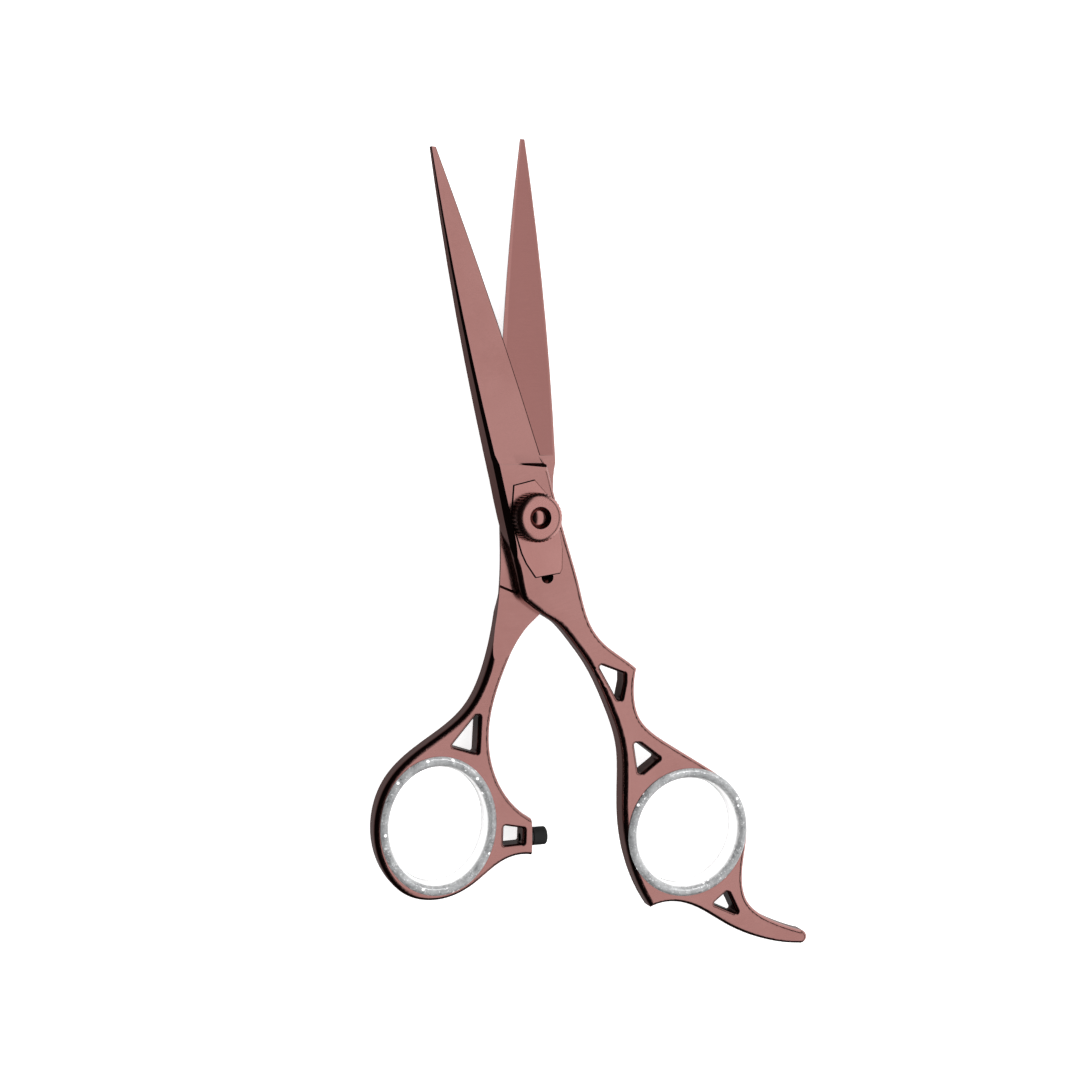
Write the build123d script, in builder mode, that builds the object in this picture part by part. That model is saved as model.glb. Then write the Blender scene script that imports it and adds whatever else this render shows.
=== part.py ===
from build123d import *
import math
import os

os.makedirs("parts", exist_ok=True)

# Hair cutting shears, lying flat and part open: blade tips towards +Y, still blade on the upper layer.
# Millimetres. The origin is on the pivot axis, at the resting face of the pivot screw's head.

# ---- Driving dimensions ----
head_height = 0.6
head_washer_thickness = 0.18
blade_thickness = 3.35
blade_gap = 0.10
handle_thickness = 4.6
handle_fillet = 1.0

lower_face_z = 0.8                                      # outer face of the moving blade
lower_mating_z = lower_face_z + blade_thickness         # inner face of the moving blade
upper_mating_z = lower_mating_z + blade_gap             # inner face of the still blade
upper_face_z = upper_mating_z + blade_thickness         # outer face of the still blade
still_bottom_z = upper_face_z - handle_thickness        # underside of the finger handle
moving_top_z = lower_face_z + handle_thickness          # upper side of the thumb handle

still_lean = 14.9                 # the still blade's axis, degrees to the left of +Y
moving_lean = 0.9                 # the moving blade's axis, degrees to the left of +Y

# Blades. The ground blade starts at the heel, and its grinding run-out ends at the ricasso.
still_ricasso_y = 9.85
still_ricasso_left = (-8.45, still_ricasso_y)
still_ricasso_right = (2.7, still_ricasso_y)
still_heel_y = 11.7
still_tip_y = 68.0
still_spine_x = (-8.87, -19.15, -0.62)                  # at the heel, at the tip, and the bow between
still_edge_x = (2.1, -17.95, 0.43)
moving_ricasso_y = 10.1
moving_ricasso_left = (-5.95, moving_ricasso_y)
moving_ricasso_right = (5.4, moving_ricasso_y)
moving_heel_y = 11.5
moving_tip_y = 70.6
moving_spine_x = (5.35, -0.75, 0.74)
moving_edge_x = (-5.95, -1.65, -0.72)
blade_stations = (0.0, 0.25, 0.5, 0.75, 0.93, 1.0)      # shares of the way from heel to tip

# Blade section, each as (at the heel, at the tip)
spine_wall = (2.8, 0.75)
spine_draft = (0.4, 0.05)         # how far the spine's wall leans in
spine_bevel_width = (0.75, 0.15)
spine_bevel_rise = (0.5, 0.1)
edge_bevel_width = (0.5, 0.15)
edge_line_width = (0.2, 0.08)     # a narrow flat honed along the outer face's edge
edge_line_drop = (0.07, 0.03)
edge_height = (2.05, 0.7)
edge_land = 0.12
heel_drop = spine_wall[0] + spine_bevel_rise[0] - edge_height[0]
step_length = 0.3                 # the steep step from the ricasso down to the ground face
step_drop = 1.0
step_knee = 4.96                  # from the spine to where the step fades out
ricasso_draft = 0.55              # how far the ricasso's wall leans in
ricasso_bevel_width = 1.1
ride_band = (0.9, 0.2)
hollow_depth = (0.2, 0.02)

# Ride area, the groove that ends it and the ramp up to the full handle thickness, from the pivot
groove_start = 14.0
groove_middle = 0.22              # from the groove's start to its deepest line
groove_width = 0.5
groove_depth = 0.35
groove_lean = -23.5               # the groove runs square to this direction, degrees to the left of +Y
ramp_start = 20.6
ramp_end = 26.6
beyond = 40.0                     # far enough to clear the part in any direction

# Left wall of the still ricasso and shank: (y, x, how far in the bevel starts, how far in it ends)
still_wall = (
    (14.0, -9.35, 0.55, 1.65),
    (9.85, -8.45, 0.55, 1.65),
    (5.1, -7.4, 0.55, 1.68),
    (1.35, -6.6, 0.5, 1.8),
    (-2.3, -5.65, 0.35, 1.65),
    (-5.3, -4.7, 0.1, 1.25),
    (-8.5, -3.8, -0.3, 0.55),
)
wall_bevel_z = 6.9
# Left wall of the moving ricasso and shank, undercut from below: (y, x, how far in at the lower face)
moving_wall = (
    (14.0, -6.1, 1.0),
    (10.1, -5.95, 1.0),
    (-2.0, -5.55, 1.0),
    (-14.0, -5.75, 0.9),
    (-20.0, -6.6, -0.3),
)
undercut_top_z = 3.4
# Notch cut across the still ricasso's right edge, as a pyramid: apex, and corners (y, z) of its base
wedge_apex = (-3.49, 9.85)
wedge_base_x = 3.3
wedge_base = ((8.32, 7.6), (9.27, 7.34), (10.235, 6.25), (10.235, 7.9), (8.32, 7.9))

# Rings and their comfort inserts
finger_centre = (31.8, -62.1)
finger_hole_radius = 11.3
finger_bore_radius = 10.45
thumb_centre = (-18.1, -57.6)
thumb_hole_radius = 11.8          # along Y
thumb_bore_radius = 10.95         # along Y
thumb_squeeze = 0.855             # the thumb ring is an oval, narrower along X
bore_land = 1.2
lip_overlap = 1.3
lip_rise = 0.77
inner_lip_rise = 0.56
lip_edge = 0.3
bore_flare = 0.75
flare_middle = (0.19, -0.51)      # half way up the flare: beyond the bore, and up from the metal's face

# Cut-outs in the handles
cutout_corner = 0.35
cutout_rim = 0.8

# Pivot hardware
head_radius = 4.6
head_chamfer = 0.25
shank_radius = 2.5
shank_flats = 4.0
running_clearance = 0.03
bush_radius = 3.4
head_washer_radius = 4.4
blade_washer_radius = 5.0
blade_washer_thickness = 0.55
blade_washer_stand = 0.08
thread_radius = 1.90
dial_bore_radius = 1.95
dial_bore_chamfer = 0.15
screw_end_z = 10.2
screw_dome_height = 0.7
leaf_recess = 0.45
leaf_thickness = 0.75
leaf_play = 0.08
leaf_chamfer = 0.17
leaf_bottom_z = upper_face_z - leaf_recess
leaf_top_z = leaf_bottom_z + leaf_thickness
notch_centre = (-11.64, -0.39)    # along and across the still blade's axis: half under the click plate
notch_radius = 1.2
notch_depth = 1.0
notch_point = 0.72                # the drill's point below that

dial_radius = 4.64
dial_stand = 0.05                 # running gap between the dial and the click plate
dial_bottom_z = leaf_top_z + dial_stand
dial_top_z = 11.3
dial_flat_radius = 3.15
dial_side_top_z = 10.2
dial_shoulder = (4.2, 10.93)      # half way round the top edge: radius and height
knurl_count = 40
knurl_depth = 0.24
knurl_half_width = 0.22
spring_inner_radius = 2.0
spring_outer_radius = 2.85
spring_thickness = 0.22
spring_cone = 0.14
spring_pocket_radius = 2.95
spring_play = 0.02
spring_pocket_top_z = leaf_top_z + 2 * (spring_thickness + spring_cone) + spring_play

detent_radius = 3.75              # from the pivot axis to the click ball
ball_radius = 0.4
ball_centre_z = 7.65
detent_bore_radius = 0.43
detent_floor_z = 5.6
detent_wire_radius = 0.08
detent_coil_radius = 0.27
detent_pitch = 0.24
detent_play = 0.02                # at each end of the click spring
track_half_width = 0.35
track_depth = 0.2
click_count = 12
click_radius = 0.3

# Bumper on the thumb handle's lug
lug_face_x = 0.3
bumper_y = -61.5
bumper_z = lower_face_z + handle_thickness / 2
bumper_radius = 1.75
bumper_end_x = 3.75
bumper_dome = 0.45
collar_radius = 1.45
collar_length = 0.7
stem_radius = 0.8
stem_inner_x = -0.7
stem_bore_x = -2.2                # inside the square cut-out, where the bore for the stem begins
spigot_radius = 0.7
spigot_end_x = 2.4


def between(ends, share):
    """A size that runs evenly from the first value to the second."""
    return ends[0] + (ends[1] - ends[0]) * share


def bowed(curve, share):
    """A place that runs from heel to tip and bulges by a bow half way."""
    start, end, bow = curve
    return start + (end - start) * share + bow * 4 * share * (1 - share)


def on_still(along, across):
    """A point given along the still blade's axis, towards its tip, and across it, to the right."""
    angle = math.radians(still_lean)
    x = across * math.cos(angle) - along * math.sin(angle)
    y = across * math.sin(angle) + along * math.cos(angle)
    return (x, y)


def axis_plane(lean):
    """The upright plane through the pivot and a blade's axis: its x runs towards the tip, its y is +Z."""
    angle = math.radians(lean)
    along = (-math.sin(angle), math.cos(angle), 0)
    across = (math.cos(angle), math.sin(angle), 0)
    return Plane(origin=(0, 0, 0), x_dir=along, z_dir=across)


def blade_section(y, spine_x, edge_x, mating_z, up, share):
    """One cross-section of a blade. up is 1 where the outer face is on top and -1 where it is below."""
    inward = math.copysign(1, edge_x - spine_x)
    wall_z = mating_z + up * between(spine_wall, share)
    wall_x = spine_x + inward * between(spine_draft, share)
    bevel_z = wall_z + up * between(spine_bevel_rise, share)
    bevel_x = wall_x + inward * between(spine_bevel_width, share)
    face_z = mating_z + up * between(edge_height, share)
    line_x = edge_x - inward * between(edge_bevel_width, share)
    face_x = line_x - inward * between(edge_line_width, share)
    band = inward * between(ride_band, share)
    hollow_start = edge_x - band
    hollow_end = spine_x + band / 3
    hollow_middle = (hollow_start + hollow_end) / 2
    with BuildSketch(Plane.XZ.offset(-y)) as section:
        with BuildLine():
            Polyline(
                (hollow_end, mating_z),
                (spine_x, mating_z),
                (wall_x, wall_z),
                (bevel_x, bevel_z),
                (face_x, face_z),
                (line_x, face_z - up * between(edge_line_drop, share)),
                (edge_x, mating_z + up * edge_land),
                (edge_x, mating_z),
                (hollow_start, mating_z),
            )
            ThreePointArc(
                (hollow_start, mating_z),
                (hollow_middle, mating_z + up * between(hollow_depth, share)),
                (hollow_end, mating_z),
            )
        make_face()
    return section.sketch


def runout_section(y, share, ends, mating_z, up, edge_drop, fold):
    """A section of the grinding run-out, share of the way from the ricasso to the heel.

    ends holds the ricasso's and the heel's spine x, and then the same for the cutting edge. The outer
    face drops by edge_drop at the edge. With fold 1 it drops only beyond the knee, with 0 evenly.
    """
    spine_x = between(ends[0], share)
    edge_x = between(ends[1], share)
    inward = math.copysign(1, edge_x - spine_x)
    wall_x = spine_x + inward * between((ricasso_draft, spine_draft[0]), share)
    wall_z = mating_z + up * spine_wall[0]
    bevel_x = wall_x + inward * between((ricasso_bevel_width, spine_bevel_width[0]), share)
    bevel_z = wall_z + up * spine_bevel_rise[0]
    knee_x = spine_x + inward * step_knee
    line_x = edge_x - inward * edge_bevel_width[0]
    face_x = line_x - inward * edge_line_width[0]
    knee_share = (knee_x - bevel_x) / (face_x - bevel_x)
    knee_z = bevel_z - up * edge_drop * knee_share * (1 - fold)
    edge_z = bevel_z - up * edge_drop
    line_z = edge_z - up * edge_line_drop[0]
    side_z = between((line_z - up * edge_bevel_width[0], mating_z + up * edge_land), share)
    with BuildSketch(Plane.XZ.offset(-y)) as section:
        with BuildLine():
            Polyline(
                (spine_x, mating_z),
                (wall_x, wall_z),
                (bevel_x, bevel_z),
                (knee_x, knee_z),
                (face_x, edge_z),
                (line_x, line_z),
                (edge_x, side_z),
                (edge_x, mating_z),
                close=True,
            )
        make_face()
    return section.sketch


def runout(ricasso, heel, mating_z, up):
    """The three sections of the run-out: ricasso, foot of the step, heel. Corners are (y, spine, edge)."""
    ends = ((ricasso[1], heel[1]), (ricasso[2], heel[2]))
    step_y = ricasso[0] + step_length
    step_share = step_length / (heel[0] - ricasso[0])
    return (
        runout_section(ricasso[0], 0, ends, mating_z, up, 0, 1),
        runout_section(step_y, step_share, ends, mating_z, up, step_drop, 1),
        runout_section(heel[0], 1, ends, mating_z, up, heel_drop, 0),
    )


def left_of(points, z):
    """The area to the left of a smooth line through (x, y) points, at one height."""
    far_x = -beyond
    with BuildSketch(Plane.XY.offset(z)) as area:
        with BuildLine():
            Spline(*points)
            Polyline(points[-1], (far_x, points[-1][1]), (far_x, points[0][1]), points[0])
        make_face()
    return area.sketch


def insert_section(centre, hole_radius, bore_radius, bottom_z, top_z):
    """The section of a comfort insert: a groove that grips the metal, two lips and a rounded inside."""
    middle_z = (bottom_z + top_z) / 2
    lip_radius = hole_radius + lip_overlap
    crown_radius = (bore_radius + bore_flare + lip_radius) / 2
    plane = Plane(origin=(centre[0], centre[1], 0), x_dir=(1, 0, 0), z_dir=(0, -1, 0))
    with BuildSketch(plane) as section:
        with BuildLine():
            Line((bore_radius, middle_z - bore_land / 2), (bore_radius, middle_z + bore_land / 2))
            for side, face_z in ((1, top_z), (-1, bottom_z)):
                land_end = (bore_radius, middle_z + side * bore_land / 2)
                inner_crown = (bore_radius + bore_flare, face_z + side * inner_lip_rise)
                inner_middle = (bore_radius + flare_middle[0], face_z + side * flare_middle[1])
                crown = (crown_radius, face_z + side * lip_rise)
                lip_top = (lip_radius, face_z + side * lip_edge)
                ThreePointArc(land_end, inner_middle, inner_crown)
                ThreePointArc(inner_crown, crown, lip_top)
                Line(lip_top, (lip_radius, face_z))
                Line((lip_radius, face_z), (hole_radius, face_z))
            Line((hole_radius, bottom_z), (hole_radius, top_z))
        make_face()
    return section.sketch


def cutout(*corners):
    """The outline of a cut-out with rounded corners."""
    with BuildSketch(Plane.XY) as outline:
        with BuildLine():
            Polyline(*corners, close=True)
        make_face()
        fillet(outline.vertices(), radius=cutout_corner)
    return outline.sketch


def leaf(play):
    """The outline of the click plate under the dial, with play all round."""
    with BuildSketch(Plane.XY.offset(leaf_bottom_z)) as outline:
        with BuildLine():
            Polyline(
                on_still(-11.05, -2.75),
                on_still(-8.0, -3.85),
                on_still(-5.9, -4.25),
                on_still(-2.0, -4.4),
                on_still(3.2, -3.75),
                on_still(6.9, -2.45),
                on_still(6.8, 1.8),
                on_still(3.2, 3.7),
                on_still(-2.0, 4.1),
                on_still(-7.2, 3.85),
                on_still(-10.9, 2.8),
                on_still(-11.6, 2.2),
                close=True,
            )
        make_face()
        if play > 0:
            offset(amount=play)
    return outline.sketch


def finish(piece, name):
    """Name a finished piece and write it as a STEP file."""
    piece.part.label = name
    export_step(piece.part, "parts/" + name + ".step")


# ---- Still blade: upper blade, ricasso, shank, finger ring and finger rest, one forging ----
with BuildPart() as still_blade:
    with BuildSketch(Plane.XY.offset(still_bottom_z)):
        with BuildLine():
            Line(still_ricasso_left, still_ricasso_right)
            Spline(
                still_ricasso_right, (6.55, -4.0), (9.3, -13.2), (11.9, -21.2),
                (14.4, -24.4), (18.1, -27.2), (21.1, -29.5),
            )
            Spline(
                (21.1, -29.5), (20.6, -34.0), (21.7, -39.0), (27.5, -44.3), (35.5, -49.3), (42.0, -54.6),
                (44.9, -62.0), (44.2, -69.0), (44.9, -76.8), (51.2, -81.9), (57.2, -84.3),
            )
            ThreePointArc((57.2, -84.3), (58.4, -86.0), (56.7, -86.9))
            Spline(
                (56.7, -86.9), (50.0, -85.6), (40.6, -81.5), (34.0, -77.4), (29.5, -75.9), (24.2, -76.5)
            )
            Spline(
                (24.2, -76.5), (20.1, -68.2), (18.35, -60.0), (18.2, -52.0), (17.9, -44.6), (15.5, -37.1),
                (10.8, -27.8), (7.9, -23.9), (6.2, -21.8), (4.2, -19.9), (1.8, -18.4), (-0.8, -16.45),
                (-1.8, -15.6), (-2.45, -14.4), (-3.1, -11.5), (-3.8, -8.5), (-4.7, -5.3), (-5.65, -2.3),
                (-6.6, 1.35), (-7.4, 5.1), still_ricasso_left,
            )
        make_face()
    extrude(amount=handle_thickness)
    flats = faces().sort_by(Axis.Z)
    rims = flats[-1].edges() + flats[0].edges()
    fillet(rims.filter_by(GeomType.LINE, reverse=True), radius=handle_fillet)

    with BuildSketch(Plane.XY):
        add(cutout((13.0, -28.2), (18.3, -30.3), (18.3, -32.0), (17.6, -35.4), (16.95, -35.2)))
        add(cutout((20.5, -44.0), (21.6, -44.0), (25.8, -47.2), (22.0, -49.9), (21.4, -49.7)))
        add(cutout((40.55, -74.75), (42.95, -79.65), (37.5, -77.0)))
    extrude(amount=beyond, mode=Mode.SUBTRACT)
    flats = faces().sort_by(Axis.Z)
    for flat in (flats[-1], flats[0]):
        fillet([rim for wire in flat.inner_wires() for rim in wire.edges()], radius=cutout_rim)

    with BuildSketch(axis_plane(still_lean)):
        with BuildLine():
            Polyline(
                (beyond, 0),
                (beyond, upper_mating_z),
                (-groove_start, upper_mating_z),
                (-groove_start - groove_middle, upper_mating_z + groove_depth),
                (-groove_start - groove_width, upper_mating_z),
                (-ramp_start, upper_mating_z),
                (-ramp_end, still_bottom_z),
                (-ramp_end, 0),
                close=True,
            )
        make_face()
    extrude(amount=beyond, both=True, mode=Mode.SUBTRACT)

    walls = [(x - running_clearance, y) for y, x, start, end in still_wall]
    starts = [(x + start, y) for y, x, start, end in still_wall]
    ends = [(x + end, y) for y, x, start, end in still_wall]
    loft((left_of(walls, upper_mating_z), left_of(starts, wall_bevel_z)), ruled=True, mode=Mode.SUBTRACT)
    loft((left_of(starts, wall_bevel_z), left_of(ends, upper_face_z)), ruled=True, mode=Mode.SUBTRACT)

    still_ricasso = (still_ricasso_y, still_ricasso_left[0], still_ricasso_right[0])
    still_heel = (still_heel_y, still_spine_x[0], still_edge_x[0])
    loft(runout(still_ricasso, still_heel, upper_mating_z, 1), ruled=True)
    sections = [
        blade_section(
            between((still_heel_y, still_tip_y), share),
            bowed(still_spine_x, share),
            bowed(still_edge_x, share),
            upper_mating_z,
            1,
            share,
        )
        for share in blade_stations
    ]
    loft(sections)
    with BuildSketch(Plane.YZ.offset(wedge_base_x)) as wedge:
        with BuildLine():
            Polyline(*wedge_base, close=True)
        make_face()
    loft((Vertex(*wedge_apex, upper_face_z), wedge.sketch), ruled=True, mode=Mode.SUBTRACT)

    with Locations((finger_centre[0], finger_centre[1], 0)):
        Cylinder(
            finger_hole_radius, beyond, align=(Align.CENTER, Align.CENTER, Align.MIN), mode=Mode.SUBTRACT
        )
    extrude(leaf(leaf_play), amount=beyond, mode=Mode.SUBTRACT)
    with BuildSketch(Plane.XY.offset(upper_face_z - notch_depth)):
        with Locations(on_still(*notch_centre)):
            Circle(notch_radius)
    extrude(amount=beyond, mode=Mode.SUBTRACT)
    notch_x, notch_y = on_still(*notch_centre)
    with Locations((notch_x, notch_y, upper_face_z - notch_depth)):
        Cone(
            0,
            notch_radius,
            notch_point,
            align=(Align.CENTER, Align.CENTER, Align.MAX),
            mode=Mode.SUBTRACT,
        )
    with BuildSketch(Plane.XY.offset(detent_floor_z)):
        with Locations(on_still(-detent_radius, 0)):
            Circle(detent_bore_radius)
    extrude(amount=beyond, mode=Mode.SUBTRACT)
    with BuildSketch(Plane.XY):
        Circle(shank_radius)
        Rectangle(2 * shank_radius, shank_flats, rotation=still_lean, mode=Mode.INTERSECT)
    extrude(amount=beyond, mode=Mode.SUBTRACT)
    with BuildSketch(Plane.XY):
        Circle(blade_washer_radius)
    extrude(amount=upper_mating_z - blade_washer_stand + blade_washer_thickness, mode=Mode.SUBTRACT)

finish(still_blade, "still_blade")

# ---- Moving blade: lower blade, ricasso, shank, thumb ring and bumper lug, one forging ----
with BuildPart() as moving_blade:
    with BuildSketch(Plane.XY.offset(lower_face_z)):
        with BuildLine():
            Line(moving_ricasso_right, moving_ricasso_left)
            Spline(
                moving_ricasso_left, (-5.55, -2.0), (-5.75, -14.0), (-8.1, -27.0), (-12.4, -36.0),
                (-20.8, -42.4), (-27.8, -48.8), (-30.4, -57.6), (-28.6, -65.4), (-24.3, -70.3),
                (-17.6, -71.7), (-11.2, -69.4), (-6.6, -66.1), (lug_face_x, -64.7),
            )
            Line((lug_face_x, -64.7), (lug_face_x, -57.7))
            Spline(
                (lug_face_x, -57.7), (-4.8, -52.8), (-7.8, -45.0), (-7.6, -37.2), (-4.9, -28.7),
                (-0.9, -21.6), (3.2, -17.6), (5.7, -12.5), (5.9, -4.0), moving_ricasso_right,
            )
        make_face()
    extrude(amount=handle_thickness)
    flats = faces().sort_by(Axis.Z)
    rims = flats[-1].edges() + flats[0].edges()
    fillet(rims.filter_by(GeomType.LINE, reverse=True), radius=handle_fillet)

    with BuildSketch(Plane.XY):
        add(cutout((-10.15, -36.6), (-10.6, -44.45), (-15.5, -42.8)))
        add(cutout((-5.2, -58.6), (-1.4, -59.4), (-1.5, -62.3), (-5.35, -62.4)))
    extrude(amount=beyond, mode=Mode.SUBTRACT)
    flats = faces().sort_by(Axis.Z)
    for flat in (flats[-1], flats[0]):
        fillet([rim for wire in flat.inner_wires() for rim in wire.edges()], radius=cutout_rim)

    with BuildSketch(axis_plane(moving_lean)):
        with BuildLine():
            Polyline(
                (beyond, beyond),
                (beyond, lower_mating_z),
                (-ramp_start, lower_mating_z),
                (-ramp_end, moving_top_z),
                (-ramp_end, beyond),
                close=True,
            )
        make_face()
    extrude(amount=beyond, both=True, mode=Mode.SUBTRACT)
    with BuildSketch(axis_plane(groove_lean)):
        with BuildLine():
            Polyline(
                (-groove_start, lower_mating_z),
                (-groove_start - groove_middle, lower_mating_z - groove_depth),
                (-groove_start - groove_width, lower_mating_z),
                close=True,
            )
        make_face()
    extrude(amount=beyond, both=True, mode=Mode.SUBTRACT)

    undercuts = [(x + inset, y) for y, x, inset in moving_wall]
    walls = [(x - running_clearance, y) for y, x, inset in moving_wall]
    undercut = (left_of(undercuts, lower_face_z), left_of(walls, undercut_top_z))
    loft(undercut, ruled=True, mode=Mode.SUBTRACT)

    moving_ricasso = (moving_ricasso_y, moving_ricasso_right[0], moving_ricasso_left[0])
    moving_heel = (moving_heel_y, moving_spine_x[0], moving_edge_x[0])
    loft(runout(moving_ricasso, moving_heel, lower_mating_z, -1), ruled=True)
    sections = [
        blade_section(
            between((moving_heel_y, moving_tip_y), share),
            bowed(moving_spine_x, share),
            bowed(moving_edge_x, share),
            lower_mating_z,
            -1,
            share,
        )
        for share in blade_stations
    ]
    loft(sections)

    with BuildSketch(Plane.XY):
        with Locations(thumb_centre):
            Ellipse(thumb_hole_radius * thumb_squeeze, thumb_hole_radius)
        Circle(bush_radius)
    extrude(amount=beyond, mode=Mode.SUBTRACT)
    with BuildSketch(Plane.YZ.offset(stem_bore_x)):
        with Locations((bumper_y, bumper_z)):
            Circle(stem_radius)
    extrude(amount=beyond, mode=Mode.SUBTRACT)

finish(moving_blade, "moving_blade")

# ---- Pivot screw: flat head below, round shank, flats that the still blade holds, domed thread end ----
dome_top_z = screw_end_z + screw_dome_height
with BuildPart() as pivot_screw:
    with BuildSketch(Plane.XY):
        Circle(head_radius)
    extrude(amount=head_height)
    chamfer(faces().sort_by(Axis.Z)[0].edges(), length=head_chamfer)
    with BuildSketch(Plane.XY.offset(head_height)):
        Circle(shank_radius)
    extrude(amount=upper_mating_z - head_height)
    with BuildSketch(Plane.XY.offset(upper_mating_z)):
        Circle(shank_radius)
        Rectangle(2 * shank_radius, shank_flats, rotation=still_lean, mode=Mode.INTERSECT)
    extrude(amount=leaf_bottom_z - upper_mating_z)
    with BuildSketch(Plane.XY.offset(leaf_bottom_z)):
        Circle(thread_radius)
    extrude(amount=screw_end_z - leaf_bottom_z)
    with BuildSketch(Plane.XZ):
        with BuildLine():
            Polyline((0, dome_top_z), (0, screw_end_z), (thread_radius, screw_end_z))
            TangentArc((0, dome_top_z), (thread_radius, screw_end_z), tangent=(1, 0))
        make_face()
    revolve(axis=Axis.Z)

finish(pivot_screw, "pivot_screw")

# ---- Low-friction washers and the bearing sleeve ----
with BuildPart() as head_washer:
    with BuildSketch(Plane.XY.offset(head_height)):
        Circle(head_washer_radius)
        Circle(shank_radius, mode=Mode.SUBTRACT)
    extrude(amount=head_washer_thickness)

finish(head_washer, "head_washer")

with BuildPart() as pivot_bush:
    with BuildSketch(Plane.XY.offset(lower_face_z)):
        Circle(bush_radius)
        Circle(shank_radius + running_clearance, mode=Mode.SUBTRACT)
    extrude(amount=blade_thickness)

finish(pivot_bush, "pivot_bush")

with BuildPart() as blade_washer:
    with BuildSketch(Plane.XY.offset(upper_mating_z - blade_washer_stand)):
        Circle(blade_washer_radius)
        Circle(shank_radius, mode=Mode.SUBTRACT)
    extrude(amount=blade_washer_thickness)

finish(blade_washer, "blade_washer")

# ---- Tension leaf: the click plate let into the still blade under the dial ----
with BuildPart() as tension_leaf:
    extrude(leaf(0), amount=leaf_thickness)
    chamfer(faces().sort_by(Axis.Z)[-1].edges(), length=leaf_chamfer)
    with BuildSketch(Plane.XY):
        Circle(thread_radius)
        with Locations(on_still(-detent_radius, 0)):
            Circle(detent_bore_radius)
    extrude(amount=beyond, mode=Mode.SUBTRACT)

finish(tension_leaf, "tension_leaf")


# ---- Disc springs: a pair of cone washers, back to back under the dial ----
def disc_spring(outer_z, inner_z):
    """One cone washer, whose underside is at outer_z on its rim and at inner_z at its hole."""
    with BuildPart() as spring:
        with BuildSketch(Plane.XZ):
            with BuildLine():
                Polyline(
                    (spring_inner_radius, inner_z),
                    (spring_outer_radius, outer_z),
                    (spring_outer_radius, outer_z + spring_thickness),
                    (spring_inner_radius, inner_z + spring_thickness),
                    close=True,
                )
            make_face()
        revolve(axis=Axis.Z)
    return spring


lower_spring_top_z = leaf_top_z + spring_cone + spring_thickness
finish(disc_spring(leaf_top_z, leaf_top_z + spring_cone), "disc_spring_lower")
finish(disc_spring(lower_spring_top_z + spring_cone, lower_spring_top_z), "disc_spring_upper")

# ---- Tension dial: knurled, with a rounded top edge, a spring pocket and a click track below ----
with BuildPart() as tension_dial:
    with BuildSketch(Plane.XZ):
        with BuildLine():
            Polyline(
                (dial_flat_radius, dial_top_z),
                (dial_bore_radius + dial_bore_chamfer, dial_top_z),
                (dial_bore_radius, dial_top_z - dial_bore_chamfer),
                (dial_bore_radius, spring_pocket_top_z),
                (spring_pocket_radius, spring_pocket_top_z),
                (spring_pocket_radius, dial_bottom_z),
                (dial_radius, dial_bottom_z),
                (dial_radius, dial_side_top_z),
            )
            ThreePointArc((dial_radius, dial_side_top_z), dial_shoulder, (dial_flat_radius, dial_top_z))
        make_face()
    revolve(axis=Axis.Z)
    with BuildSketch(Plane.XY.offset(dial_bottom_z)):
        with PolarLocations(dial_radius, knurl_count):
            Rectangle(2 * knurl_depth, 2 * knurl_half_width)
    extrude(amount=beyond, mode=Mode.SUBTRACT)
    with BuildSketch(Plane.XY.offset(dial_bottom_z)):
        Circle(detent_radius + track_half_width)
        Circle(detent_radius - track_half_width, mode=Mode.SUBTRACT)
    extrude(amount=track_depth, mode=Mode.SUBTRACT)
    with PolarLocations(detent_radius, click_count, start_angle=still_lean - 90):
        with Locations((0, 0, dial_bottom_z + track_depth)):
            Sphere(click_radius, mode=Mode.SUBTRACT)

finish(tension_dial, "tension_dial")

# ---- Click ball and its spring ----
ball_x, ball_y = on_still(-detent_radius, 0)
with BuildPart() as detent_ball:
    with Locations((ball_x, ball_y, ball_centre_z)):
        Sphere(ball_radius)

finish(detent_ball, "detent_ball")

coil_start_z = detent_floor_z + detent_wire_radius + detent_play
coil_end_z = ball_centre_z - ball_radius - detent_wire_radius - detent_play
with BuildPart() as detent_spring:
    with BuildLine():
        coil = Helix(
            pitch=detent_pitch,
            height=coil_end_z - coil_start_z,
            radius=detent_coil_radius,
            center=(ball_x, ball_y, coil_start_z),
        )
    with BuildSketch(Plane(origin=coil @ 0, z_dir=coil % 0)):
        Circle(detent_wire_radius)
    sweep(is_frenet=True)

finish(detent_spring, "detent_spring")

# ---- Comfort inserts in the two rings ----
with BuildPart() as finger_ring_insert:
    section = insert_section(
        finger_centre, finger_hole_radius, finger_bore_radius, still_bottom_z, upper_face_z
    )
    revolve(section, axis=Axis((finger_centre[0], finger_centre[1], 0), (0, 0, 1)))

finish(finger_ring_insert, "finger_ring_insert")

with BuildPart() as thumb_ring_insert:
    section = insert_section((0, 0), thumb_hole_radius, thumb_bore_radius, lower_face_z, moving_top_z)
    revolve(section, axis=Axis.Z)
    scale(by=(thumb_squeeze, 1, 1))

thumb_ring_insert.part = thumb_ring_insert.part.moved(Location((thumb_centre[0], thumb_centre[1], 0)))
finish(thumb_ring_insert, "thumb_ring_insert")

# ---- Bumper: a ferrule through the lug's wall, and the rubber on its spigot ----
with BuildPart() as bumper_ferrule:
    with BuildSketch(Plane.YZ.offset(lug_face_x)):
        with Locations((bumper_y, bumper_z)):
            Circle(collar_radius)
    extrude(amount=collar_length)
    with BuildSketch(Plane.YZ.offset(stem_inner_x)):
        with Locations((bumper_y, bumper_z)):
            Circle(stem_radius)
    extrude(amount=lug_face_x - stem_inner_x)
    with BuildSketch(Plane.YZ.offset(lug_face_x + collar_length)):
        with Locations((bumper_y, bumper_z)):
            Circle(spigot_radius)
    extrude(amount=spigot_end_x - lug_face_x - collar_length)

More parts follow.
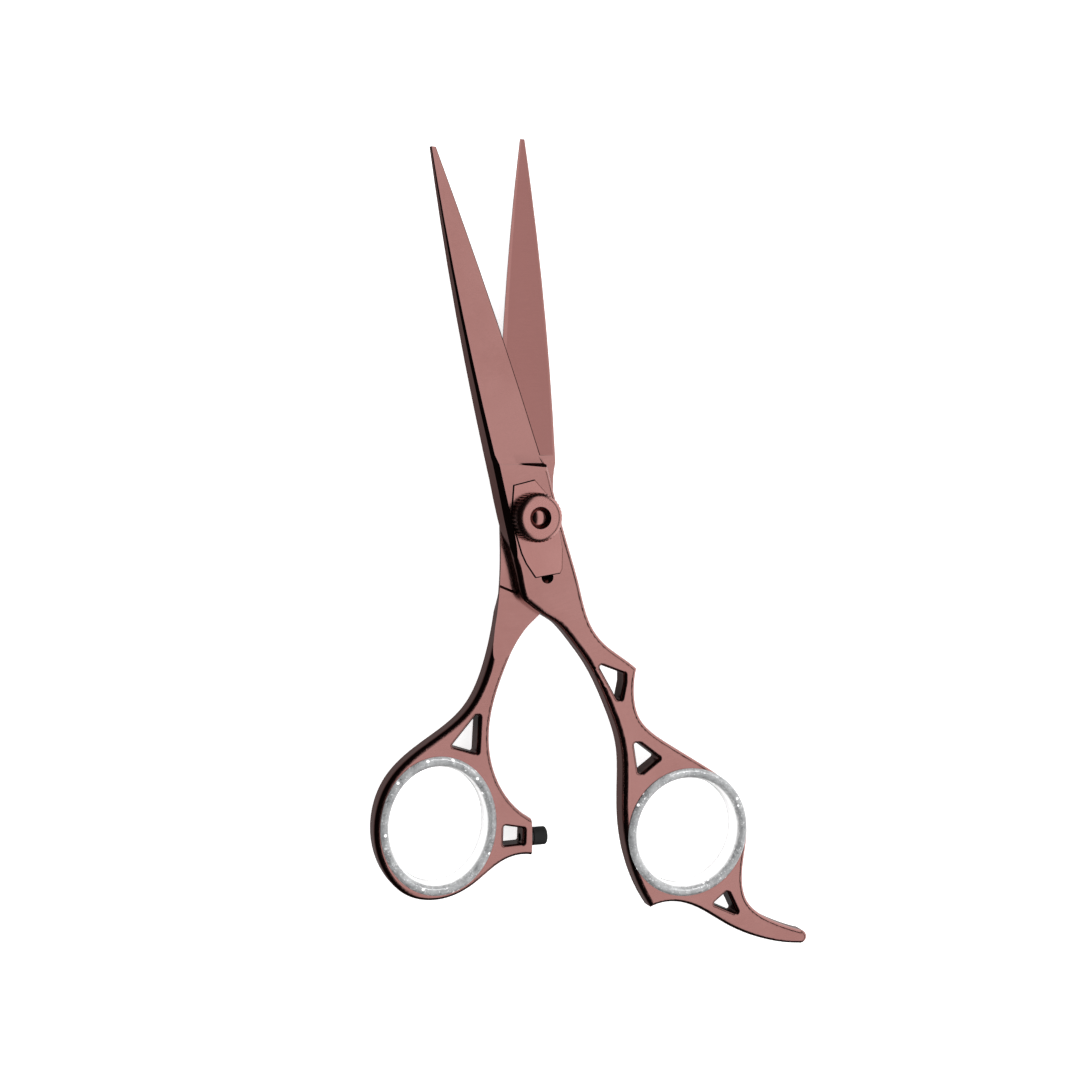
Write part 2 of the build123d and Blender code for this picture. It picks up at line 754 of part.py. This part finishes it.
finish(bumper_ferrule, "bumper_ferrule")

with BuildPart() as bumper_cap:
    with BuildSketch(Plane.YZ.offset(lug_face_x + collar_length)):
        with Locations((bumper_y, bumper_z)):
            Circle(bumper_radius)
    extrude(amount=bumper_end_x - lug_face_x - collar_length)
    fillet(faces().sort_by(Axis.X)[-1].edges(), radius=bumper_dome)
    with BuildSketch(Plane.YZ.offset(lug_face_x + collar_length)):
        with Locations((bumper_y, bumper_z)):
            Circle(spigot_radius)
    extrude(amount=spigot_end_x - lug_face_x - collar_length, mode=Mode.SUBTRACT)

finish(bumper_cap, "bumper_cap")
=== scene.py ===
import math
import bpy
from mathutils import Matrix, Vector


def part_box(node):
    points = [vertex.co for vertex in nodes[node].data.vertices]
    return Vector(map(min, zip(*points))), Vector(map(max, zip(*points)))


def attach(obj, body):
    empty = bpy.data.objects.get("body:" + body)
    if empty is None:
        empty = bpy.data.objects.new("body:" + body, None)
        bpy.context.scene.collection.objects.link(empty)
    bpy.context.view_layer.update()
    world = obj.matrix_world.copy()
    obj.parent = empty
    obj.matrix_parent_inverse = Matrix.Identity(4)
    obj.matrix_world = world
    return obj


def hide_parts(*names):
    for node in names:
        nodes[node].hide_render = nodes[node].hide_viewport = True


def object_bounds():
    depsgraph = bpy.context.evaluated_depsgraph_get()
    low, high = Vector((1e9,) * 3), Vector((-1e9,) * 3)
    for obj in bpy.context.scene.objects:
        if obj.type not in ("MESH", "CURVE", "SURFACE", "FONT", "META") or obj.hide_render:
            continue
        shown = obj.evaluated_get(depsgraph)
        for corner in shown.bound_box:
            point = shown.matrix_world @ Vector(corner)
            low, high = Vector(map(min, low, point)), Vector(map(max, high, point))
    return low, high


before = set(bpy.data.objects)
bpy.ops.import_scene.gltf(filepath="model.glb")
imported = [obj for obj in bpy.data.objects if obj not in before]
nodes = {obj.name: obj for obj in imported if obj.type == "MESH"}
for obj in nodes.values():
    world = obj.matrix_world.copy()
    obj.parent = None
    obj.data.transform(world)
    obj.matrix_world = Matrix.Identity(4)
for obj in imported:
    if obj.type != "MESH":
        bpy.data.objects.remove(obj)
cad_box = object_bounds()

# Looks of the hair cutting shears. Lengths are in metres unless a name or a comment says mm.
MM = 0.001

# ---- Camera: close above the shears, leaning to the thumb side ----
VIEW_TILT = math.radians(19.0)            # from straight above, towards -X
VIEW_RISE = math.radians(3.0)             # and towards the blade tips
VIEW_DISTANCE = 300.0 * MM
VIEW_WIDTH = 205.2 * MM                   # what the picture spans at the target
VIEW_TARGET = Vector((2.288, -4.469, 4.2)) * MM
SENSOR_MM = 36.0
CLIP_START = 10.0 * MM

# ---- Sizes ----
FINGER_LOW, FINGER_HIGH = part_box("finger_ring_insert")
THUMB_LOW, THUMB_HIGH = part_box("thumb_ring_insert")
THUMB_SQUEEZE = (THUMB_HIGH.x - THUMB_LOW.x) / (THUMB_HIGH.y - THUMB_LOW.y)
FLOOR_SIZE = 3.0
FLOOR_GAP = 0.02 * MM

# The blades: how far each axis leans to the left of +Y, the height of the inner face in mm, and which way
# that face is ground
STILL_LEAN = math.radians(14.9)
MOVING_LEAN = math.radians(0.9)
STILL_INNER = (4.25, 1.0)
MOVING_INNER = (4.15, -1.0)
HOLLOW_STARTS_Y_MM = (11.4, 11.9)
HOLLOW_DEEPEST_MM = (0.24, 0.26)
HONED_STEP_MM = (0.001, 0.012)            # the depth over which the honed band turns into the hollow

# The section of a comfort insert, all in mm: steps in radius, and heights above the metal's face
LIP_OVERLAP = 1.3
CROWN_RISE = 0.77
INNER_RISE = 0.56
LIP_EDGE = 0.3
BORE_LAND = 1.2
BORE_FLARE = 0.75
FLARE_MIDDLE = (0.19, -0.51)
HOLE_TO_BORE = 0.85
ROUND_START = (-0.12, 0.09)               # the lip's rounded edge, measured from its corner
ROUND_MIDDLE = (-0.03, 0.01)
ROUND_END = (0.0, -0.12)
BORE_GLOW_REACH = 0.45                        # how far from the bore the silicone is painted white and glowing, as painted light shining through
BORE_GLOW_FADE = 0.25
RING_STEPS = 288
FLARE_STEPS = 12
CROWN_STEPS = 18
ROUND_STEPS = 4
SHARP_ANGLE = math.radians(50)

# ---- Colours, linear ----
ROSE = (0.435, 0.215, 0.198, 1.0)
ROSE_DEEP = (0.400, 0.190, 0.174, 1.0)
ROSE_WORN = (0.620, 0.400, 0.370, 1.0)
ROSE_HOLLOW = (0.335, 0.148, 0.136, 1.0)
STEEL = (0.52, 0.52, 0.53, 1.0)
SPRING_STEEL = (0.36, 0.36, 0.38, 1.0)
BRASS = (0.66, 0.47, 0.20, 1.0)
BLACK_PAINT = (0.012, 0.012, 0.012, 1.0)
BLACK_PAINT_WORN = (0.03, 0.03, 0.03, 1.0)
RUBBER = (0.006, 0.006, 0.006, 1.0)
RUBBER_PALE = (0.02, 0.02, 0.02, 1.0)
PLASTIC = (0.70, 0.70, 0.67, 1.0)
PLASTIC_PALE = (0.80, 0.80, 0.78, 1.0)
HAZE_DARK = (0.27, 0.275, 0.28, 1.0)
HAZE_PALE = (0.46, 0.465, 0.47, 1.0)
GLITTER_DARK = (0.16, 0.165, 0.17, 1.0)
GLITTER_PALE = (0.82, 0.83, 0.84, 1.0)
FLOOR_WHITE = (0.90, 0.90, 0.90, 1.0)
WHITE = (1.0, 1.0, 1.0, 1.0)

# ---- Finish of the coated metal ----
ALONG_BLADE = (9.0, 0.35, 9.0)            # streaks that run along a blade
ACROSS_BLADE = (0.35, 9.0, 9.0)
COATING_GRAIN_MM = 0.003                  # depth of the grain
STREAK_SHARE = 0.4                        # depth of the streaks, as a share of the grain's
SATIN = (0.13, 0.18)                      # roughness between and on the streaks
DIAL_SATIN = (0.21, 0.25)
HOLLOW_SHARE = 0.8                        # how much of ROSE_HOLLOW shows in the hollow
RECESS_REACH = 4.0 * MM                   # how near a facing wall must be for the painted shade in a recess
RECESS_OPEN = (0.45, 0.92)                # how open a place is where it is darkest, and where it is plain
PAINTED_SHADE_DARKEST = 0.15
WORN_EDGE_MM = 0.12
WORN_SHARE = 0.45
EDGE_AGREEMENT = (0.985, 0.86)            # rounded normal against the true one, on a flat and on an edge
TURNED_GRAIN_MM = 0.002                   # depth of the grain on uncoated metal
NOISE_MIDDLE = (0.3, 0.7)                 # where most of a noise's values lie

# ---- Glitter in the silicone ----
FINE_FLAKES = 4.5                         # per mm
LARGE_FLAKES = 0.85
FLAKE_TILT = 0.35                         # how far a fine flake turns the normal
PAINTED_GLOW = 0.3                           # emission of large flakes and of the clear bore: a painted glint and painted light shining through

# ---- Light ----
# Edges of the studio's parts in degrees, each as (where it is black, where it is bright)
SOFTBOX_LEFT = (-8.0, 9.0)
SOFTBOX_RIGHT = (50.0, 47.0)
SOFTBOX_ENDS = (66.0, 52.0)
CARD_TOP = (64.0, 68.0)
CARD_FOOT = (155.0, 135.0)
CARD_ENDS = (52.0, 40.0)
TABLE_FADE = (-0.2, -0.8)                 # the same, but as the height z of a direction
DOWNWARD = 0.17                           # what the metal mirrors from below, against the softbox's 1
CARD = 1.15
FLAG = 0.004                              # the black flags, which aren't quite black
SKY = 0.95                                # the even white that matt surfaces see
FLOOR_GLOW = 0.72
KEY_PLACE = Vector((0.35, 0.45, 0.75))
KEY_SIZE = 0.6
KEY_POWER = 2.0
STRIP_DISTANCE = 0.8
STRIP_TOWARDS = Vector((0.42, 0.62, 0.66))
STRIP_SIZE = (0.9, 0.09)
STRIP_POWER = 4.0


class Graph:
    """A node tree with short calls. A value or another node's output can go into any input."""

    def __init__(self, tree):
        self.tree = tree
        tree.nodes.clear()

    def add(self, kind, inputs=None, **settings):
        node = self.tree.nodes.new(kind)
        for key, value in settings.items():
            setattr(node, key, value)
        for socket, value in (inputs or {}).items():
            self.feed(node.inputs[socket], value)
        return node

    def feed(self, socket, value):
        if isinstance(value, bpy.types.NodeSocket):
            self.tree.links.new(value, socket)
        else:
            socket.default_value = value

    def math(self, operation, first, second=0.0):
        return self.add("ShaderNodeMath", {0: first, 1: second}, operation=operation).outputs[0]

    def product(self, *values):
        result = values[0]
        for value in values[1:]:
            result = self.math("MULTIPLY", result, value)
        return result

    def vector(self, operation, *vectors):
        return self.add("ShaderNodeVectorMath", dict(enumerate(vectors)), operation=operation).outputs[0]

    def cells(self, vector, scale, randomness):
        """Voronoi cells: the distance from a cell's middle, its colour, and the colour's three draws."""
        inputs = {"Vector": vector, "Scale": scale, "Randomness": randomness}
        node = self.add("ShaderNodeTexVoronoi", inputs)
        colour = node.outputs["Color"]
        draws = self.add("ShaderNodeSeparateColor", {0: colour}).outputs
        return node.outputs["Distance"], colour, draws

    def noise(self, vector, scale, detail=3.0, roughness=0.55):
        inputs = {"Vector": vector, "Scale": scale, "Detail": detail, "Roughness": roughness}
        return self.add("ShaderNodeTexNoise", inputs).outputs[0]

    def remap(self, value, low, high, to_low=0.0, to_high=1.0, smooth=True):
        inputs = {0: value, 1: low, 2: high, 3: to_low, 4: to_high}
        kind = "SMOOTHSTEP" if smooth else "LINEAR"
        return self.add("ShaderNodeMapRange", inputs, interpolation_type=kind).outputs[0]

    def mix(self, factor, first, second, blend="MIX"):
        node = self.add("ShaderNodeMix", data_type="RGBA", blend_type=blend)
        self.feed(node.inputs[0], factor)
        self.feed(node.inputs[6], first)
        self.feed(node.inputs[7], second)
        return node.outputs[2]

    def bump(self, height, distance, strength=1.0, normal=None):
        node = self.add("ShaderNodeBump", {"Height": height, "Distance": distance, "Strength": strength})
        if normal is not None:
            self.feed(node.inputs["Normal"], normal)
        return node.outputs[0]


def surface(name, **settings):
    """A new material: its graph and its shader's inputs. The settings are the shader's uniform values."""
    material = bpy.data.materials.new(name)
    material.use_nodes = True
    graph = Graph(material.node_tree)
    shader = graph.add("ShaderNodeBsdfPrincipled")
    output = graph.add("ShaderNodeOutputMaterial")
    graph.feed(output.inputs["Surface"], shader.outputs[0])
    for socket, value in settings.items():
        shader.inputs[socket.replace("_", " ")].default_value = value
    return material, graph, shader.inputs


def millimetres(graph, turn=0.0):
    """The place on the part in millimetres, turned about +Z so that +Y runs along a blade."""
    place = graph.add("ShaderNodeTexCoord").outputs["Object"]
    inputs = {"Vector": place, "Rotation": (0.0, 0.0, -turn), "Scale": (1000.0,) * 3}
    return graph.add("ShaderNodeMapping", inputs, vector_type="POINT").outputs[0]


def edge_mask(graph, radius_mm):
    """Near 1 on sharp outer edges and 0 elsewhere, from how far a rounded normal leaves the true one."""
    rounded = graph.add("ShaderNodeBevel", {"Radius": radius_mm * MM}, samples=4).outputs[0]
    true_normal = graph.add("ShaderNodeNewGeometry").outputs["Normal"]
    agreement = graph.add("ShaderNodeVectorMath", {0: rounded, 1: true_normal}, operation="DOT_PRODUCT")
    return graph.remap(agreement.outputs["Value"], *EDGE_AGREEMENT)


def hollow_mask(graph, mating_z, up):
    """1 on the hollow ground into a blade's inner face, 0 on the flat band honed along its cutting edge."""
    axes = graph.add("ShaderNodeSeparateXYZ", {0: millimetres(graph)}).outputs
    depth = graph.product(graph.math("SUBTRACT", axes[2], mating_z), up)
    ground = graph.remap(depth, *HONED_STEP_MM)
    shallow, deep = HOLLOW_DEEPEST_MM
    inside = graph.remap(depth, deep, shallow)
    blade = graph.remap(axes[1], *HOLLOW_STARTS_Y_MM)
    return graph.product(ground, inside, blade)


def coated_metal(name, lean, brush, inner_face=None, satin=SATIN, tone_gain=1.0):
    """Rose-gold coated steel, satin finished: a fine grain, faint brushing, tone drift, worn edges and
    painted shade in recesses.

    inner_face is (z in mm, 1 or -1) for a blade, whose hollow is a little darker and redder. tone_gain
    lightens the piece's whole colour; on the dial it is painted light, lifting a rounded face that mirrors
    much of the dark studio.
    """
    material, graph, shader = surface(name, Metallic=1.0)
    place = millimetres(graph, lean)
    drift = graph.noise(place, 0.07, 2.0)
    clouds = graph.noise(place, 0.55, 4.0)
    grain = graph.noise(place, 9.0, 2.0, 0.7)
    streaks = graph.noise(graph.vector("MULTIPLY", place, brush), 1.0, 5.0, 0.7)

    tone = graph.mix(graph.remap(drift, 0.32, 0.68), ROSE_DEEP, ROSE)
    tone = graph.mix(graph.remap(clouds, 0.35, 0.75, 0.0, 0.35), tone, ROSE)
    if inner_face is not None:
        tone = graph.mix(graph.product(hollow_mask(graph, *inner_face), HOLLOW_SHARE), tone, ROSE_HOLLOW)
    speckle = graph.remap(grain, *NOISE_MIDDLE, 0.93, 1.07, smooth=False)
    lines = graph.remap(streaks, *NOISE_MIDDLE, 0.95, 1.05, smooth=False)
    # Painted shade: the colour darkens where the part closes in around a place, in cut-outs and recesses
    recess = graph.add("ShaderNodeAmbientOcclusion", {"Distance": RECESS_REACH}, samples=4, only_local=True)
    painted_shadow = graph.remap(recess.outputs["AO"], *RECESS_OPEN, PAINTED_SHADE_DARKEST, 1.0)
    grain_and_painted_light = graph.product(speckle, lines, painted_shadow, tone_gain)
    tint = graph.add("ShaderNodeCombineColor", {0: grain_and_painted_light, 1: grain_and_painted_light, 2: grain_and_painted_light}).outputs[0]
    tone = graph.mix(1.0, tone, tint, "MULTIPLY")
    worn = graph.product(edge_mask(graph, WORN_EDGE_MM), WORN_SHARE)
    graph.feed(shader["Base Color"], graph.mix(worn, tone, ROSE_WORN))

    brushed = graph.remap(streaks, *NOISE_MIDDLE, *satin)
    graph.feed(shader["Roughness"], graph.math("ADD", brushed, graph.remap(grain, *NOISE_MIDDLE, 0.0, 0.05)))
    fine = graph.bump(grain, COATING_GRAIN_MM * MM)
    graph.feed(shader["Normal"], graph.bump(streaks, STREAK_SHARE * COATING_GRAIN_MM * MM, normal=fine))
    return material


def mottled(name, scale, detail, colours, roughness, relief_mm=None, relief=1.0, vivid=False, **settings):
    """A simple finish, whose colour, roughness and relief all follow one noise.

    vivid stretches the noise's middle over the whole way from one colour to the other. relief_mm is the
    relief's depth and relief its strength.
    """
    material, graph, shader = surface(name, **settings)
    pattern = graph.noise(millimetres(graph), scale, detail)
    blend = graph.remap(pattern, *NOISE_MIDDLE) if vivid else pattern
    graph.feed(shader["Roughness"], graph.remap(pattern, *NOISE_MIDDLE, *roughness))
    graph.feed(shader["Base Color"], graph.mix(blend, *colours))
    if relief_mm is not None:
        graph.feed(shader["Normal"], graph.bump(pattern, relief_mm * MM, relief))
    return material


def plain_metal(name, colour, roughness):
    """Uncoated metal with a light turned grain."""
    darker = tuple(0.8 * part for part in colour[:3]) + (1.0,)
    spread = (roughness - 0.05, roughness + 0.08)
    return mottled(name, 6.0, 3.0, (darker, colour), spread, TURNED_GRAIN_MM, vivid=True, Metallic=1.0)


def glitter_silicone():
    """Clear silicone full of silver glitter: a grey haze, fine flakes at all angles and a few large ones.

    Towards the bore there is little glitter between the eye and the light, so it is painted white and glowing
    there: painted light shining through.
    """
    material, graph, shader = surface(
        "insert_silicone", Transmission_Weight=0.1, IOR=1.41, Coat_Weight=1.0, Coat_Roughness=0.12
    )
    place = millimetres(graph)
    haze = graph.noise(place, 0.45, 4.0, 0.65)
    tone = graph.mix(graph.remap(haze, 0.32, 0.68), HAZE_DARK, HAZE_PALE)
    fine_colour, fine = graph.cells(place, FINE_FLAKES, 1.0)[1:]
    tone = graph.mix(graph.remap(fine[0], 0.0, 1.0, 0.0, 0.30), tone, GLITTER_DARK)
    tone = graph.mix(graph.remap(fine[1], 0.90, 0.97, 0.0, 0.5), tone, GLITTER_PALE)

    # Large flakes: real white flakes, made to glow as well, a painted glint
    distance, _, large = graph.cells(place, LARGE_FLAKES, 0.9)
    flake = graph.product(graph.remap(distance, 0.30, 0.20), graph.remap(large[0], 0.78, 0.80))
    # The clear attribute marks the bore, painted white and glowing below: painted light shining through the
    # silicone
    clear = graph.add("ShaderNodeAttribute", attribute_name="clear").outputs["Fac"]
    painted_glow = graph.math("MAXIMUM", flake, graph.product(clear, 0.92))
    graph.feed(shader["Base Color"], graph.mix(painted_glow, tone, WHITE))
    metal = graph.product(graph.remap(fine[2], 0.3, 0.9, 0.0, 0.4), graph.math("SUBTRACT", 1.0, painted_glow))
    graph.feed(shader["Metallic"], metal)
    graph.feed(shader["Emission Color"], WHITE)
    graph.feed(shader["Emission Strength"], graph.product(painted_glow, PAINTED_GLOW))
    graph.feed(shader["Roughness"], graph.remap(haze, *NOISE_MIDDLE, 0.26, 0.38))

    centred = graph.vector("SUBTRACT", fine_colour, (0.5, 0.5, 0.5))
    tilt = graph.vector("MULTIPLY", centred, (FLAKE_TILT,) * 3)
    true_normal = graph.add("ShaderNodeNewGeometry").outputs["Normal"]
    graph.feed(shader["Normal"], graph.vector("NORMALIZE", graph.vector("ADD", true_normal, tilt)))
    return material


def dress(material, *names):
    """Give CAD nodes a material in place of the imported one."""
    for name in names:
        for slot in nodes[name].material_slots:
            slot.material = material


dress(coated_metal("still_coating", STILL_LEAN, ACROSS_BLADE, STILL_INNER), "still_blade")
dress(coated_metal("moving_coating", MOVING_LEAN, ACROSS_BLADE, MOVING_INNER), "moving_blade")
dress(coated_metal("leaf_coating", STILL_LEAN, ALONG_BLADE, tone_gain=1.12), "tension_leaf")
# On the dial tone_gain is painted light, lifting a rounded face that mirrors much of the dark studio
dress(coated_metal("dial_coating", 0.0, ALONG_BLADE, satin=DIAL_SATIN, tone_gain=1.2), "tension_dial")
dress(coated_metal("screw_coating", 0.0, ALONG_BLADE, tone_gain=1.2), "pivot_screw")
springs = plain_metal("spring_steel", SPRING_STEEL, 0.3)
dress(springs, "disc_spring_lower", "disc_spring_upper", "detent_spring")
dress(plain_metal("ball_steel", STEEL, 0.12), "detent_ball")
dress(plain_metal("bush_brass", BRASS, 0.25), "pivot_bush")
rubber = mottled(
    "bumper_rubber", 5.0, 4.0, (RUBBER, RUBBER_PALE), (0.5, 0.7), 0.02, 0.5, Specular_IOR_Level=0.35
)
dress(rubber, "bumper_cap")
silicone = glitter_silicone()
dress(silicone, "finger_ring_insert", "thumb_ring_insert")
washer = mottled("washer_plastic", 2.0, 3.0, (PLASTIC, PLASTIC_PALE), (0.42, 0.55))
dress(washer, "head_washer", "blade_washer")
paint = mottled("ferrule_black", 6.0, 3.0, (BLACK_PAINT, BLACK_PAINT_WORN), (0.25, 0.4), 0.004)
dress(paint, "bumper_ferrule")


# ---- Comfort inserts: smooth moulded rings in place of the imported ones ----
def arc(start, middle, end, steps):
    """Points along the circle through three points, from start to end, the short way round."""
    (ax, ay), (bx, by), (cx, cy) = start, middle, end
    twice = 2 * (ax * (by - cy) + bx * (cy - ay) + cx * (ay - by))
    a2, b2, c2 = ax * ax + ay * ay, bx * bx + by * by, cx * cx + cy * cy
    ox = (a2 * (by - cy) + b2 * (cy - ay) + c2 * (ay - by)) / twice
    oy = (a2 * (cx - bx) + b2 * (ax - cx) + c2 * (bx - ax)) / twice
    radius = math.hypot(ax - ox, ay - oy)
    first = math.atan2(ay - oy, ax - ox)
    turn = math.atan2(cy - oy, cx - ox) - first
    turn = (turn + math.pi) % (2 * math.pi) - math.pi
    angles = [first + turn * i / steps for i in range(steps + 1)]
    return [(ox + radius * math.cos(t), oy + radius * math.sin(t)) for t in angles]


def insert_profile(lip_radius, bottom_z, top_z):
    """The closed section of an insert as (radius, z) in mm: bore, flare, crown, lip edge and metal groove."""
    hole = lip_radius - LIP_OVERLAP
    bore = hole - HOLE_TO_BORE
    middle_z = (bottom_z + top_z) / 2
    crown_radius = (bore + BORE_FLARE + lip_radius) / 2
    sides = []
    for side, face_z in ((1, top_z), (-1, bottom_z)):
        land_end = (bore, middle_z + side * BORE_LAND / 2)
        flare = (bore + FLARE_MIDDLE[0], face_z + side * FLARE_MIDDLE[1])
        inner = (bore + BORE_FLARE, face_z + side * INNER_RISE)
        crown = (crown_radius, face_z + side * CROWN_RISE)
        lip, shoulder, rim = (
            (lip_radius + inward, face_z + side * (LIP_EDGE + rise))
            for inward, rise in (ROUND_START, ROUND_MIDDLE, ROUND_END)
        )
        points = arc(land_end, flare, inner, FLARE_STEPS)
        points += arc(inner, crown, lip, CROWN_STEPS)[1:]
        points += arc(lip, shoulder, rim, ROUND_STEPS)[1:]
        sides.append(points + [(lip_radius, face_z), (hole, face_z)])
    return sides[0] + sides[1][::-1]


def lathe(profile, centre, squeeze):
    """The corners and quads of a ring: a profile in mm turned about an upright axis, its width squeezed."""
    count = len(profile)
    corners = []
    for step in range(RING_STEPS):
        angle = 2 * math.pi * step / RING_STEPS
        for radius, z in profile:
            x = centre.x + radius * MM * squeeze * math.cos(angle)
            y = centre.y + radius * MM * math.sin(angle)
            corners.append((x, y, z * MM))
    quads = []
    for step in range(RING_STEPS):
        here, after = step * count, (step + 1) % RING_STEPS * count
        for i in range(count):
            j = (i + 1) % count
            quads.append((here + i, here + j, after + j, after + i))
    return corners, quads


def insert_ring(name, low, high, squeeze, body):
    """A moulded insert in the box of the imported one. squeeze is its width over its length."""
    lip_radius = (high.y - low.y) / 2 / MM
    profile = insert_profile(lip_radius, low.z / MM + CROWN_RISE, high.z / MM - CROWN_RISE)
    corners, quads = lathe(profile, (low + high) / 2, squeeze)
    mesh = bpy.data.meshes.new(name)
    mesh.from_pydata(corners, [], quads)
    mesh.polygons.foreach_set("use_smooth", [True] * len(quads))
    mesh.set_sharp_from_angle(angle=SHARP_ANGLE)
    mesh.materials.append(silicone)
    # The clear attribute marks where the silicone is painted white and glowing: painted light shining through
    # the bore
    clear = mesh.attributes.new("clear", "FLOAT", "POINT")
    bore = lip_radius - LIP_OVERLAP - HOLE_TO_BORE
    fade = [min(1.0, max(0.0, (bore + BORE_GLOW_REACH - radius) / BORE_GLOW_FADE)) for radius, z in profile]
    clear.data.foreach_set("value", fade * RING_STEPS)
    ring = bpy.data.objects.new(name, mesh)
    bpy.context.scene.collection.objects.link(ring)
    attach(ring, body)
    return ring


finger_ring = insert_ring("finger_ring_silicone", FINGER_LOW, FINGER_HIGH, 1.0, "still_half")
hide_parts("finger_ring_insert")
thumb_ring = insert_ring("thumb_ring_silicone", THUMB_LOW, THUMB_HIGH, THUMB_SQUEEZE, "moving_half")
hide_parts("thumb_ring_insert")

# ---- Floor ----
bpy.ops.mesh.primitive_plane_add(size=FLOOR_SIZE, location=(0.0, 0.0, cad_box[0].z - FLOOR_GAP))
floor = bpy.context.object
floor.name = "floor"
floor_white = surface(
    "floor_white",
    Base_Color=FLOOR_WHITE,
    Roughness=0.9,
    Specular_IOR_Level=0.1,
    Emission_Color=WHITE,
    Emission_Strength=FLOOR_GLOW,
)[0]
floor.data.materials.append(floor_white)
floor.visible_glossy = False


# ---- Studio: what the metal mirrors, and the light that falls on the floor ----
def studio():
    """A wide softbox above and to the right, a white card low on the right, and black flags elsewhere.

    lean is a direction's angle from straight up towards +X, and reach its angle out of that plane.
    """
    world = bpy.data.worlds.new("studio")
    bpy.context.scene.world = world
    world.use_nodes = True
    graph = Graph(world.node_tree)
    direction = graph.add("ShaderNodeTexCoord").outputs["Generated"]
    x, y, z = graph.add("ShaderNodeSeparateXYZ", {0: direction}).outputs
    lean = graph.math("DEGREES", graph.math("ARCTAN2", x, z))
    reach = graph.math("DEGREES", graph.math("ARCSINE", graph.math("ABSOLUTE", y)))
    softbox = graph.product(
        graph.remap(lean, *SOFTBOX_LEFT), graph.remap(lean, *SOFTBOX_RIGHT), graph.remap(reach, *SOFTBOX_ENDS)
    )
    card = graph.product(
        graph.remap(lean, *CARD_TOP), graph.remap(lean, *CARD_FOOT), graph.remap(reach, *CARD_ENDS), CARD
    )
    table = graph.remap(z, *TABLE_FADE, 0.0, DOWNWARD)
    mirrored = graph.math("MAXIMUM", graph.math("MAXIMUM", softbox, card), table)
    mirrored = graph.math("ADD", mirrored, FLAG)
    seen_diffuse = graph.add("ShaderNodeLightPath").outputs["Is Diffuse Ray"]
    strength = graph.add("ShaderNodeMix", data_type="FLOAT")
    graph.feed(strength.inputs[0], seen_diffuse)
    graph.feed(strength.inputs[2], mirrored)
    graph.feed(strength.inputs[3], SKY)
    background = graph.add("ShaderNodeBackground", {"Color": WHITE, "Strength": strength.outputs[0]})
    output = graph.add("ShaderNodeOutputWorld")
    graph.feed(output.inputs["Surface"], background.outputs[0])


def area_light(name, place, width, length, power, mirrored):
    """A soft light aimed at the middle of the view. Metal and silicone mirror it only if mirrored is True."""
    data = bpy.data.lights.new(name, "AREA")
    data.shape = "RECTANGLE"
    data.size = width
    data.size_y = length
    data.energy = power
    light = bpy.data.objects.new(name, data)
    bpy.context.scene.collection.objects.link(light)
    light.location = place
    light.rotation_mode = "QUATERNION"
    light.rotation_quaternion = (VIEW_TARGET - light.location).to_track_quat("-Z", "Y")
    light.visible_glossy = mirrored
    return light


studio()
area_light("key_light", KEY_PLACE, KEY_SIZE, KEY_SIZE, KEY_POWER, mirrored=False)

# A strip light that only the two silicone rings catch, for the bright arc along their far side
strip_place = VIEW_TARGET + STRIP_DISTANCE * STRIP_TOWARDS
strip = area_light("ring_light", strip_place, *STRIP_SIZE, STRIP_POWER, mirrored=True)
lit_rings = bpy.data.collections.new("lit_rings")
lit_rings.objects.link(finger_ring)
lit_rings.objects.link(thumb_ring)
strip.light_linking.receiver_collection = lit_rings

# ---- Camera ----
toward_camera = Vector((
    -math.sin(VIEW_TILT) * math.cos(VIEW_RISE),
    math.sin(VIEW_RISE),
    math.cos(VIEW_TILT) * math.cos(VIEW_RISE),
))
lens = bpy.data.cameras.new("camera")
lens.sensor_width = SENSOR_MM
lens.lens = SENSOR_MM * VIEW_DISTANCE / VIEW_WIDTH
lens.clip_start = CLIP_START
camera = bpy.data.objects.new("camera", lens)
bpy.context.scene.collection.objects.link(camera)
camera.location = VIEW_TARGET + VIEW_DISTANCE * toward_camera
right = Vector((0.0, 1.0, 0.0)).cross(toward_camera).normalized()
upward = toward_camera.cross(right)
camera.rotation_mode = "QUATERNION"
camera.rotation_quaternion = Matrix((right, upward, toward_camera)).transposed().to_quaternion()
bpy.context.scene.camera = camera
bpy.context.scene.view_settings.view_transform = "Standard"
